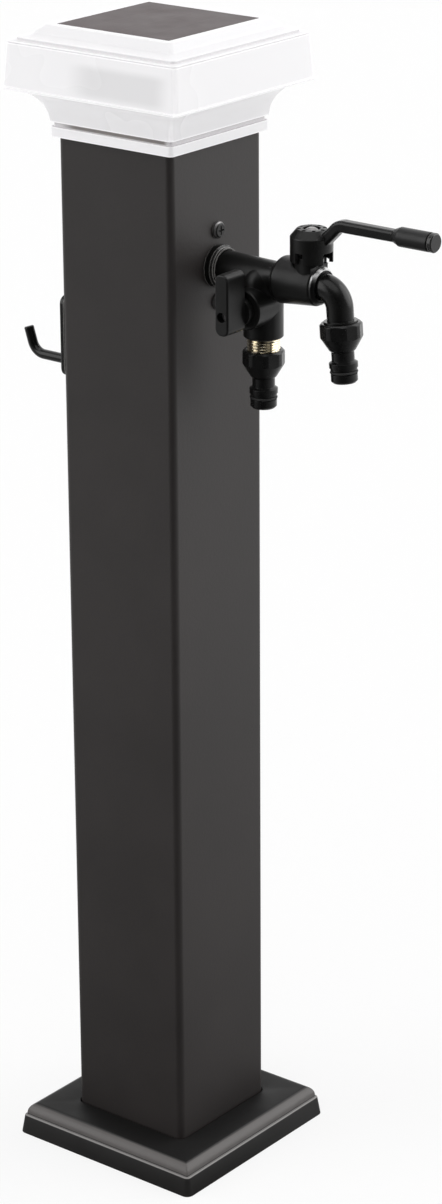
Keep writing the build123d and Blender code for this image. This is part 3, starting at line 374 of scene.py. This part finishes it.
def hose_braid():
    """Stainless braid: two crossing sets of wires, laid round the hose by height and direction."""
    finish = Finish("Braided hose", (0.58, 0.59, 0.60), 0.3, metallic=1.0)
    wires, climb = 12.0, 1500.0
    lean, foot = 0.075, 0.008
    x, y, z = finish.axes()
    turn = y.math("ARCTAN2", x - (z * lean - foot))
    one = (turn * wires + z * climb).wave()
    two = (turn * wires - z * climb).wave()
    weave = one.largest(two)
    finish.paint(weave.steps(-0.2, 0.9), (0.12, 0.12, 0.13), (0.66, 0.67, 0.68))
    finish.gloss(finish.noise(600.0), 0.22, 0.42)
    finish.relief(weave, 0.0004)
    return finish.material


def soft_material(name, colour, low, high, scale=700.0, depth=0.00003):
    finish = Finish(name, colour, (low + high) / 2, specular=0.4)
    grain = finish.noise(scale, 3.0)
    finish.tint(finish.noise(scale / 9.0, 3.0).steps(0.3, 0.7), 0.86, 1.1)
    finish.gloss(grain, low, high)
    finish.relief(grain, depth, edge=0.0002)
    return finish.material


def lens_material(look):
    """Frosted translucent plastic, with painted shade where the core inside shows through it as a soft
    grey shape and in inner corners, and painted light on edges, corners and downward faces.
    """
    finish = Finish("Frosted lens", tuple(look.lens_colour), 0.28, specular=0.4, Emission_Strength=1.0)
    flow = finish.noise(12.0, 2.0)
    low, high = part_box("lamp_lens")
    x, y, z = finish.axes()
    up = (z - low.z) / (high.z - low.z)
    front = y.below(-0.052)
    # Painted shade where the core inside shows through the front band.
    core = x.band(-0.020, 0.004, 0.050, 0.066) * up.band(0.42, 0.56, 0.80, 0.92) * front
    pale = tuple(look.lens_colour)
    grey = tuple(channel * 0.78 for channel in pale)
    # Inner corners painted grey: painted shade.
    open_place = finish.crease(0.006).steps(0.25, 0.95)
    towards = finish.facing()
    # Masks for painted light on the lens's corners and downward faces.
    corner = (towards[0] * towards[1]).size().steps(0.12, 0.40)
    below = (towards[2] * -1.0).steps(0.1, 0.9)
    shade = (core * look.core_shade).largest(1.0 - open_place) * (1.0 - corner)
    finish.paint(shade, pale, grey)
    finish.gloss(flow, 0.22, 0.34)
    finish.feed("Alpha", flow * 0.01 + look.lens_cover)
    # Painted light: emission on edges, open faces, corners and downward faces.
    finish.glow(finish.edge_mask(0.0018) * 0.30 + open_place * 0.03 + corner * 0.14 + below * 0.05)
    finish.relief(finish.noise(900.0, 2.0), 0.00001, edge=0.0006)
    return finish.material


def lamp_plastic():
    """White plastic with painted shade in its inner corners and in the collar's groove, where the post's
    dark head shows through, and painted light on its edges.
    """
    white, grey, dark = (0.90, 0.893, 0.905), (0.50, 0.47, 0.49), (0.20, 0.18, 0.17)
    finish = Finish("White moulded plastic", white, 0.36, specular=0.4, Emission_Strength=1.0)
    flow = finish.noise(40.0, 3.0)
    x, y, z = finish.axes()
    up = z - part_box("lamp_base")[0].z
    # Inner corners painted grey: painted shade.
    open_place = finish.crease(0.004).steps(0.35, 0.97)
    # Painted shade in the collar's groove on the front, where the post's dark head shows through.
    groove = up.band(0.0065, 0.0068, 0.0082, 0.0100) * x.band(-0.042, -0.028, 0.041, 0.046) * y.below(0.0)
    finish.paint(groove, finish.mix(1.0 - open_place, white, grey), dark)
    finish.gloss(flow, 0.30, 0.42)
    # Painted light: emission on edges and open faces.
    finish.glow(finish.edge_mask(0.0016) * 0.22 + open_place * 0.02)
    finish.relief(finish.noise(900.0, 2.0), 0.00001, edge=0.0006)
    return finish.material


def solar_cells():
    """Dark cells under clear resin: a faint grid of cell gaps and finer bus lines."""
    finish = Finish("Solar cells", (0.044, 0.026, 0.027), 0.2, specular=0.10)
    cell_wide, bus_apart, finger_apart = 0.0221, 0.0147, 0.0018
    x, y = finish.axes()[:2]
    gap = (x / cell_wide).stripes(0.485)
    bus = (y / bus_apart + 0.5).stripes(0.489)
    finger = (x / finger_apart).stripes(0.44)
    crystal = finish.noise(240.0, 4.0).steps(0.35, 0.65)
    cell = finish.mix(crystal, (0.038, 0.022, 0.023), (0.050, 0.030, 0.031))
    lined = finish.mix(finger * 0.10, cell, (0.09, 0.075, 0.075))
    lined = finish.mix(gap.largest(bus) * 0.22, lined, (0.14, 0.12, 0.12))
    finish.feed("Base Color", lined)
    finish.gloss(finish.noise(60.0, 3.0), 0.30, 0.44)
    finish.relief(finish.noise(90.0, 2.0), 0.00005)
    return finish.material


def light_board():
    finish = Finish("Circuit board", (0.05, 0.20, 0.08), 0.4)
    x = finish.axes()[0]
    track = (x * 900.0 + finish.noise(90.0, 1.0) * 14.0).wave().above(0.75)
    finish.paint(track * 0.6, (0.045, 0.17, 0.07), (0.09, 0.28, 0.12))
    finish.gloss(track, 0.3, 0.5)
    finish.relief(track, 0.00003)
    return finish.material


def clear_led():
    finish = Finish("Clear light", (0.90, 0.87, 0.70), 0.1, specular=0.5, Transmission_Weight=0.6)
    haze = finish.noise(400.0)
    finish.tint(haze, 0.95, 1.0)
    finish.gloss(haze, 0.06, 0.16)
    return finish.material


def sleeve():
    finish = Finish("Battery sleeve", (0.10, 0.30, 0.17), 0.25, specular=0.5)
    band = finish.axes()[0].above(0.018)
    finish.paint(band, (0.08, 0.27, 0.15), (0.55, 0.56, 0.57))
    finish.gloss(finish.noise(300.0), 0.18, 0.34)
    finish.relief(finish.noise(80.0), 0.00004)
    return finish.material


def make_finishes(look):
    return {
        "post_finish": powder_coat(),
        "cover_finish": moulded_black(),
        "tap_finish": cast_black(),
        "grip_black": grip_black(),
        "cap_black": gloss_black(),
        "adapter_black": adapter_black(),
        "screw_black": black_oxide(),
        "brass": machined_brass(),
        "steel": ring_steel(),
        "zinc": metal("Zinc plate", (0.70, 0.71, 0.73), 0.24, 0.42),
        "braid": hose_braid(),
        "rubber": soft_material("Black rubber", (0.016, 0.016, 0.016), 0.55, 0.75),
        "fibre": soft_material("Fibre washer", (0.33, 0.15, 0.09), 0.65, 0.85, depth=0.0001),
        "seat_white": soft_material("Valve seat", (0.86, 0.86, 0.84), 0.35, 0.5, scale=300.0),
        "ball_chrome": metal("Polished ball", (0.80, 0.80, 0.80), 0.05, 0.12),
        "lens_white": lens_material(look),
        "lamp_white": lamp_plastic(),
        "panel_dark": solar_cells(),
        "board_green": light_board(),
        "led_clear": clear_led(),
        "battery_wrap": sleeve(),
        "switch_black": soft_material("Switch plastic", (0.022, 0.022, 0.022), 0.4, 0.55),
    }


FINISHES = {}


# Mesh helpers

def new_object(name, mesh):
    piece = bpy.data.objects.new(name, mesh)
    bpy.context.scene.collection.objects.link(piece)
    return piece


def clean_copy(node):
    """A merged copy of a CAD node's mesh, to be finished with softer edges."""
    shape = bmesh.new()
    shape.from_mesh(NODES[node].data)
    bmesh.ops.remove_doubles(shape, verts=shape.verts, dist=0.002 * MM)
    bmesh.ops.dissolve_limit(shape, angle_limit=math.radians(0.5), verts=shape.verts, edges=shape.edges)
    mesh = bpy.data.meshes.new(node + "_soft")
    shape.to_mesh(mesh)
    shape.free()
    mesh.materials.append(FINISHES[slot_of(node)])
    return new_object(node + "_soft", mesh)


def slot_of(node):
    return next(p["material_slot"] for p in frame["record"]["subparts"] if p["node"] == node)


def body_of(node):
    return next(b for b, nodes in frame["record"]["behaviour"]["bodies"].items() if node in nodes)


def applied(piece):
    """Turns a piece with modifiers into a plain mesh of the same object."""
    graph = bpy.context.evaluated_depsgraph_get()
    graph.update()
    mesh = bpy.data.meshes.new_from_object(piece.evaluated_get(graph))
    piece.modifiers.clear()
    piece.data = mesh
    return piece


def soften(node, width):
    """Replaces a node with a copy whose sharp edges are rounded."""
    piece = clean_copy(node)
    bevel = piece.modifiers.new("Edges", "BEVEL")
    bevel.width = width
    bevel.segments = 3
    bevel.limit_method = "ANGLE"
    bevel.angle_limit = math.radians(30.0)
    bevel.harden_normals = False
    bevel.use_clamp_overlap = True
    applied(piece)
    piece.data.shade_smooth()
    piece.data.set_sharp_from_angle(angle=math.radians(40.0))
    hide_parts(node)
    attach(piece, body_of(node))


# Geometry Nodes helpers

class Tree:
    """A Geometry Nodes group with named inputs."""

    def __init__(self, name):
        self.group = bpy.data.node_groups.new(name, "GeometryNodeTree")
        self.group.interface.new_socket("Geometry", in_out="INPUT", socket_type="NodeSocketGeometry")
        self.group.interface.new_socket("Geometry", in_out="OUTPUT", socket_type="NodeSocketGeometry")
        self.start = self.group.nodes.new("NodeGroupInput")
        self.end = self.group.nodes.new("NodeGroupOutput")

    def size(self, name, value, kind="NodeSocketFloat"):
        socket = self.group.interface.new_socket(name, in_out="INPUT", socket_type=kind)
        socket.default_value = value
        return self.start.outputs[name]

    def node(self, kind, settings=None, **inputs):
        made = self.group.nodes.new(kind)
        for setting, value in (settings or {}).items():
            setattr(made, setting, value)
        for name, value in inputs.items():
            socket = made.inputs[name.replace("_", " ")]
            if isinstance(value, bpy.types.NodeSocket):
                self.group.links.new(value, socket)
            else:
                socket.default_value = value
        return made

    def finish(self, geometry, material):
        real = self.node("GeometryNodeRealizeInstances", Geometry=geometry)
        dressed = self.node("GeometryNodeSetMaterial", Geometry=real.outputs[0], Material=material)
        self.group.links.new(dressed.outputs[0], self.end.inputs[0])

    def make(self, name):
        """Runs the tree on an empty mesh and returns the result as a plain mesh object."""
        piece = new_object(name, bpy.data.meshes.new(name))
        modifier = piece.modifiers.new("Shape", "NODES")
        modifier.node_group = self.group
        return applied(piece)


def place_mesh(piece, matrix):
    """Moves a piece's mesh, merges its doubles and turns its faces outwards."""
    piece.data.transform(matrix)
    shape = bmesh.new()
    shape.from_mesh(piece.data)
    bmesh.ops.remove_doubles(shape, verts=shape.verts, dist=0.001 * MM)
    bmesh.ops.recalc_face_normals(shape, faces=shape.faces)
    shape.to_mesh(piece.data)
    shape.free()


# Sizes and colours a user can change

class StandpipeLook(bpy.types.PropertyGroup):
    lens_colour: FloatVectorProperty(
        name="Lens", description="Colour of the frosted lens", size=3, subtype="COLOR",
        min=0.0, max=1.0, default=(0.92, 0.912, 0.925))
    core_shade: FloatProperty(
        name="Core shade", description="How strongly the core shows through the lens's front band",
        min=0.0, max=1.0, default=0.8, subtype="FACTOR")
    lens_cover: FloatProperty(
        name="Lens cover", description="How far the lens hides what is inside it",
        min=0.5, max=1.0, default=0.90, subtype="FACTOR")
    edge_soft: FloatProperty(
        name="Edge rounding", description="Radius of the moulded edges",
        min=0.0, default=0.6 * MM, unit="LENGTH", subtype="DISTANCE")
    thread_pitch: FloatProperty(
        name="Thread pitch", description="Pitch of the outlet's pipe thread",
        min=0.5 * MM, default=1.814 * MM, unit="LENGTH", subtype="DISTANCE")
    thread_depth: FloatProperty(
        name="Thread depth", description="Depth of the outlet's pipe thread",
        min=0.1 * MM, default=1.0 * MM, unit="LENGTH", subtype="DISTANCE")
    weld_ripples: IntProperty(
        name="Weld ripples", description="Ripples of the weld along one side of the post",
        min=4, default=30)


class StandpipeStage(bpy.types.PropertyGroup):
    floor_colour: FloatVectorProperty(
        name="Floor", description="Colour of the floor and backdrop", size=3, subtype="COLOR",
        min=0.0, max=1.0, default=(0.93, 0.93, 0.93))
    world_light: FloatProperty(
        name="Room light", description="Strength of the even light from all sides", min=0.0, default=0.42)
    room_gloss: FloatProperty(
        name="Room in reflections", description="Brightness of the room behind the object in reflections",
        min=0.0, default=1.3)
    left_light: FloatProperty(
        name="Left light", description="Strength of the soft light from the left", min=0.0, default=1.1)
    right_light: FloatProperty(
        name="Right light", description="Strength of the soft light from behind on the right",
        min=0.0, default=1.6)
    top_light: FloatProperty(
        name="Top light", description="Strength of the soft light from above", min=0.0, default=1.0)


def look():
    return bpy.context.scene.standpipe_look


# One operator for each piece or group of like pieces

class STANDPIPE_OT_finishes(bpy.types.Operator):
    """Give every piece of the standpipe its own material"""
    bl_idname = "standpipe.finishes"
    bl_label = "Finishes"

    def execute(self, context):
        FINISHES.update(make_finishes(look()))
        for node, piece in NODES.items():
            piece.data.materials.clear()
            piece.data.materials.append(FINISHES[slot_of(node)])
        return {"FINISHED"}


class STANDPIPE_OT_outlet_thread(bpy.types.Operator):
    """Cut the pipe thread on the branch's brass outlet"""
    bl_idname = "standpipe.outlet_thread"
    bl_label = "Outlet thread"

    def execute(self, context):
        bore = 6.0 * MM
        spigot_radius = 9.0 * MM
        low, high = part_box("branch_outlet")
        axis_x = (low.x + high.x) / 2
        radius = (high.x - low.x) / 2
        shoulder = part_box("tap_body")[0].z
        spigot = (spigot_radius, high.z - shoulder)
        thread = threaded_tube("outlet_thread", radius, bore, shoulder - low.z, spigot)
        place_mesh(thread, Matrix.Translation((axis_x, 0.0, low.z)))
        thread.data.shade_smooth()
        thread.data.set_sharp_from_angle(angle=math.radians(35.0))
        thread.data.materials.append(FINISHES["brass"])
        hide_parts("branch_outlet")
        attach(thread, body_of("branch_outlet"))
        return {"FINISHED"}


def threaded_tube(name, radius, bore, long, spigot):
    """Closed tube along +Z with an outer helical thread, then a plain spigot of a radius and length."""
    around = 64
    rings_per_turn = 8
    flank_slope, root_wide = 2.6, 0.15
    chamfer_turns, chamfer_depth = 0.6, 0.9
    pitch, depth = look().thread_pitch, look().thread_depth
    rows = int(long / pitch * rings_per_turn)
    shape = bmesh.new()

    def circle(z, radius_at):
        ring = []
        for step in range(around):
            angle = 2 * math.pi * step / around
            r = radius_at(z, angle)
            ring.append(shape.verts.new((r * math.cos(angle), r * math.sin(angle), z)))
        return ring

    def thread_radius(z, angle):
        phase = (z / pitch - angle / (2 * math.pi)) % 1.0
        crest = min(1.0, max(0.0, flank_slope * abs(phase - 0.5) - root_wide))
        fade = min(1.0, z / pitch, (long - z) / pitch)
        chamfer = depth * chamfer_depth * max(0.0, 1 - z / (chamfer_turns * pitch))
        return radius - depth * (1 - crest) * fade - chamfer

    grid = [circle(long * row / rows, thread_radius) for row in range(rows + 1)]
    spigot_radius, spigot_long = spigot
    far = long + spigot_long
    for plain, z in ((spigot_radius, long), (spigot_radius, far), (bore, far), (bore, 0.0)):
        grid.append(circle(z, lambda *place: plain))
    grid.append(grid[0])
    for lower, upper in zip(grid, grid[1:]):
        for i in range(around):
            j = (i + 1) % around
            shape.faces.new((lower[i], lower[j], upper[j], upper[i]))
    bmesh.ops.recalc_face_normals(shape, faces=shape.faces)
    mesh = bpy.data.meshes.new(name)
    shape.to_mesh(mesh)
    shape.free()
    return new_object(name, mesh)


class STANDPIPE_OT_moulded_pieces(bpy.types.Operator):
    """Round the edges of the cover and the lamp's pieces as their moulds do"""
    bl_idname = "standpipe.moulded_pieces"
    bl_label = "Moulded edges"

    def execute(self, context):
        for node in ("base_cover", "lamp_base", "lamp_lens", "lamp_top_frame"):
            soften(node, look().edge_soft)
        return {"FINISHED"}


class STANDPIPE_OT_foot_weld(bpy.types.Operator):
    """Lay the weld bead between the post and its floor plate"""
    bl_idname = "standpipe.foot_weld"
    bl_label = "Foot weld"

    def execute(self, context):
        low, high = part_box("post_tube")
        side = high.x - low.x
        bead = 3.0 * MM
        flatten = (0.8, 0.66, 0.66)
        tree = Tree("Weld ripples")
        ripples = tree.size("Ripples", look().weld_ripples, "NodeSocketInt")
        run = tree.size("Run", side - bead)
        radius = tree.size("Bead", bead)
        line = tree.node("GeometryNodeCurvePrimitiveLine")
        end = tree.node("ShaderNodeCombineXYZ", X=run)
        tree.group.links.new(end.outputs[0], line.inputs["End"])
        by_count = {"mode": "COUNT"}
        points = tree.node("GeometryNodeCurveToPoints", by_count, Curve=line.outputs[0], Count=ripples)
        ball = tree.node("GeometryNodeMeshUVSphere", Segments=12, Rings=8, Radius=radius)
        shaped = tree.node("GeometryNodeTransform", Geometry=ball.outputs[0], Scale=flatten)
        ends = {"Points": points.outputs[0], "Instance": shaped.outputs[0]}
        copies = tree.node("GeometryNodeInstanceOnPoints", **ends)
        tree.finish(copies.outputs[0], FINISHES["post_finish"])
        mesh = bpy.data.meshes.new("foot_weld")
        whole = bmesh.new()
        for turn in range(4):
            strip = tree.make("weld_strip")
            start = Vector((-(side - bead) / 2, side / 2, low.z))
            strip.data.transform(Matrix.Rotation(turn * math.pi / 2, 4, "Z") @ Matrix.Translation(start))
            whole.from_mesh(strip.data)
            bpy.data.objects.remove(strip)
        whole.to_mesh(mesh)
        whole.free()
        mesh.materials.append(FINISHES["post_finish"])
        mesh.shade_smooth()
        piece = new_object("foot_weld", mesh)
        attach(piece, "post")
        return {"FINISHED"}


class STANDPIPE_OT_stage(bpy.types.Operator):
    """Set up the floor, backdrop, lights and camera"""
    bl_idname = "standpipe.stage"
    bl_label = "Stage"

    def execute(self, context):
        stage = context.scene.standpipe_stage
        make_backdrop(stage)
        make_world(stage)
        make_lights(stage)
        make_camera()
        context.scene.view_settings.view_transform = "Standard"
        return {"FINISHED"}


def make_backdrop(stage):
    """A floor that curves up far behind the object."""
    half_wide, flat, bend, top, drop = 14.0, 8.0, 3.0, 14.0, 0.0002
    angles = [math.pi / 16 * i for i in range(1, 9)]
    profile = [(-half_wide, 0.0), (flat, 0.0)]
    profile += [(flat + bend * math.sin(a), bend - bend * math.cos(a)) for a in angles]
    profile += [(flat + bend, top)]
    turn = Matrix.Rotation(math.radians(39.0), 4, "Z")
    vertices = [turn @ Vector((x, y, z - drop)) for y, z in profile for x in (-half_wide, half_wide)]
    faces = [(2 * i, 2 * i + 1, 2 * i + 3, 2 * i + 2) for i in range(len(profile) - 1)]
    mesh = bpy.data.meshes.new("backdrop")
    mesh.from_pydata(vertices, [], faces)
    mesh.shade_smooth()
    material = bpy.data.materials.new("Backdrop")
    material.use_nodes = True
    material.cycles.emission_sampling = "NONE"
    material.node_tree.nodes.clear()
    floor = Shader(material.node_tree)
    floor.place = floor.node("ShaderNodeTexCoord", {}, {}, "Object")
    seen = floor.ray("Is Camera Ray").largest(floor.ray("Is Transmission Ray"))
    mirrored = floor.ray("Is Glossy Ray")
    x, y = floor.axes()[:2]
    far = ((x * x + y * y) ** 0.5).steps(0.02, 1.3)
    strength = seen + mirrored * far_side(floor) * (far * 0.6 + 0.4) * stage.room_gloss
    diffuse = floor.node("ShaderNodeBsdfDiffuse", {}, {"Color": (*stage.floor_colour, 1.0)})
    glow = floor.node("ShaderNodeEmission", {}, {"Strength": strength})
    mixed = floor.node("ShaderNodeMixShader", {}, {0: (seen * 0.8).largest(mirrored), 1: diffuse, 2: glow})
    floor.node("ShaderNodeOutputMaterial", {}, {"Surface": mixed})
    mesh.materials.append(material)
    new_object("backdrop", mesh)


def far_side(shader):
    """0 towards the room's dark side, 1 on the opposite side."""
    x, y = shader.axes()[:2]
    reach = (x * x + y * y) ** 0.5 + 0.0001
    return 0.5 - (x * DARK_SIDE[0] + y * DARK_SIDE[1]) / reach * 0.5


def make_world(stage):
    """Even light from all sides, white where the camera sees it, with one dark side in reflections."""
    world = bpy.data.worlds.new("Studio")
    bpy.context.scene.world = world
    world.use_nodes = True
    world.cycles.sampling_method = "NONE"
    world.node_tree.nodes.clear()
    room = Shader(world.node_tree)
    room.place = room.node("ShaderNodeTexCoord", {}, {}, "Generated")
    seen = room.ray("Is Camera Ray")
    mirrored = room.ray("Is Glossy Ray")
    lit = mirrored * far_side(room) * stage.room_gloss + (1.0 - mirrored) * stage.world_light
    background = room.node("ShaderNodeBackground", {}, {"Strength": seen.largest(lit)})
    room.node("ShaderNodeOutputWorld", {}, {"Surface": background})


def make_lights(stage):
    """Wide soft lights: one for each face that the camera sees, and one above."""
    for name, azimuth, height, strength, spread in (
            ("left", -42.0, 22.0, stage.left_light, 50.0), ("right", 138.0, 26.0, stage.right_light, 60.0),
            ("top", 20.0, 72.0, stage.top_light, 60.0)):
        light = bpy.data.lights.new(name, "SUN")
        light.energy = strength
        light.angle = math.radians(spread)
        lamp = bpy.data.objects.new(name, light)
        bpy.context.scene.collection.objects.link(lamp)
        a, e = math.radians(azimuth), math.radians(height)
        towards = Vector((math.sin(a) * math.cos(e), -math.cos(a) * math.cos(e), math.sin(e)))
        lamp.rotation_mode = "QUATERNION"
        lamp.rotation_quaternion = towards.to_track_quat("Z", "Y")


def make_camera():
    """The photograph's view, solved from the post's, base's and lamp's corners."""
    image_wide, image_high = 442.0, 1204.0
    focal, middle_x, middle_y = 3479.0, 227.1, 595.6
    data = bpy.data.cameras.new("camera")
    data.sensor_width = 36.0
    data.lens = focal / image_high * data.sensor_width
    data.shift_x = (image_wide / 2 - middle_x) / image_high
    data.shift_y = (middle_y - image_high / 2) / image_high
    data.clip_end = 100.0
    camera = bpy.data.objects.new("camera", data)
    bpy.context.scene.collection.objects.link(camera)
    right = Vector((0.784712, 0.619837, -0.005398))
    up = Vector((-0.212196, 0.276801, 0.937206))
    back = Vector((0.582409, -0.734291, 0.348736))
    turn = Matrix((right, up, back)).transposed()
    camera.rotation_mode = "QUATERNION"
    camera.rotation_quaternion = turn.to_quaternion()
    camera.location = (1.349758, -1.637387, 1.176)
    bpy.context.scene.camera = camera


# Panel and registration

class STANDPIPE_PT_panel(bpy.types.Panel):
    bl_idname = "STANDPIPE_PT_panel"
    bl_label = "Standpipe"
    bl_space_type = "VIEW_3D"
    bl_region_type = "UI"
    bl_category = "Standpipe"

    def draw(self, context):
        for group in (context.scene.standpipe_look, context.scene.standpipe_stage):
            for name in group.__annotations__:
                self.layout.prop(group, name)
        for operator in OPERATORS:
            self.layout.operator(operator.bl_idname)


OPERATORS = (
    STANDPIPE_OT_stage,
    STANDPIPE_OT_finishes,
    STANDPIPE_OT_outlet_thread,
    STANDPIPE_OT_moulded_pieces,
    STANDPIPE_OT_foot_weld,
)
CLASSES = (StandpipeLook, StandpipeStage, *OPERATORS, STANDPIPE_PT_panel)


def register():
    for item in CLASSES:
        bpy.utils.register_class(item)
    bpy.types.Scene.standpipe_look = PointerProperty(type=StandpipeLook)
    bpy.types.Scene.standpipe_stage = PointerProperty(type=StandpipeStage)


def unregister():
    del bpy.types.Scene.standpipe_look
    del bpy.types.Scene.standpipe_stage
    for item in reversed(CLASSES):
        bpy.utils.unregister_class(item)


def main():
    register()
    bpy.ops.standpipe.stage()
    bpy.ops.standpipe.finishes()
    bpy.ops.standpipe.outlet_thread()
    bpy.ops.standpipe.moulded_pieces()
    bpy.ops.standpipe.foot_weld()


if __name__ == "__main__":
    main()
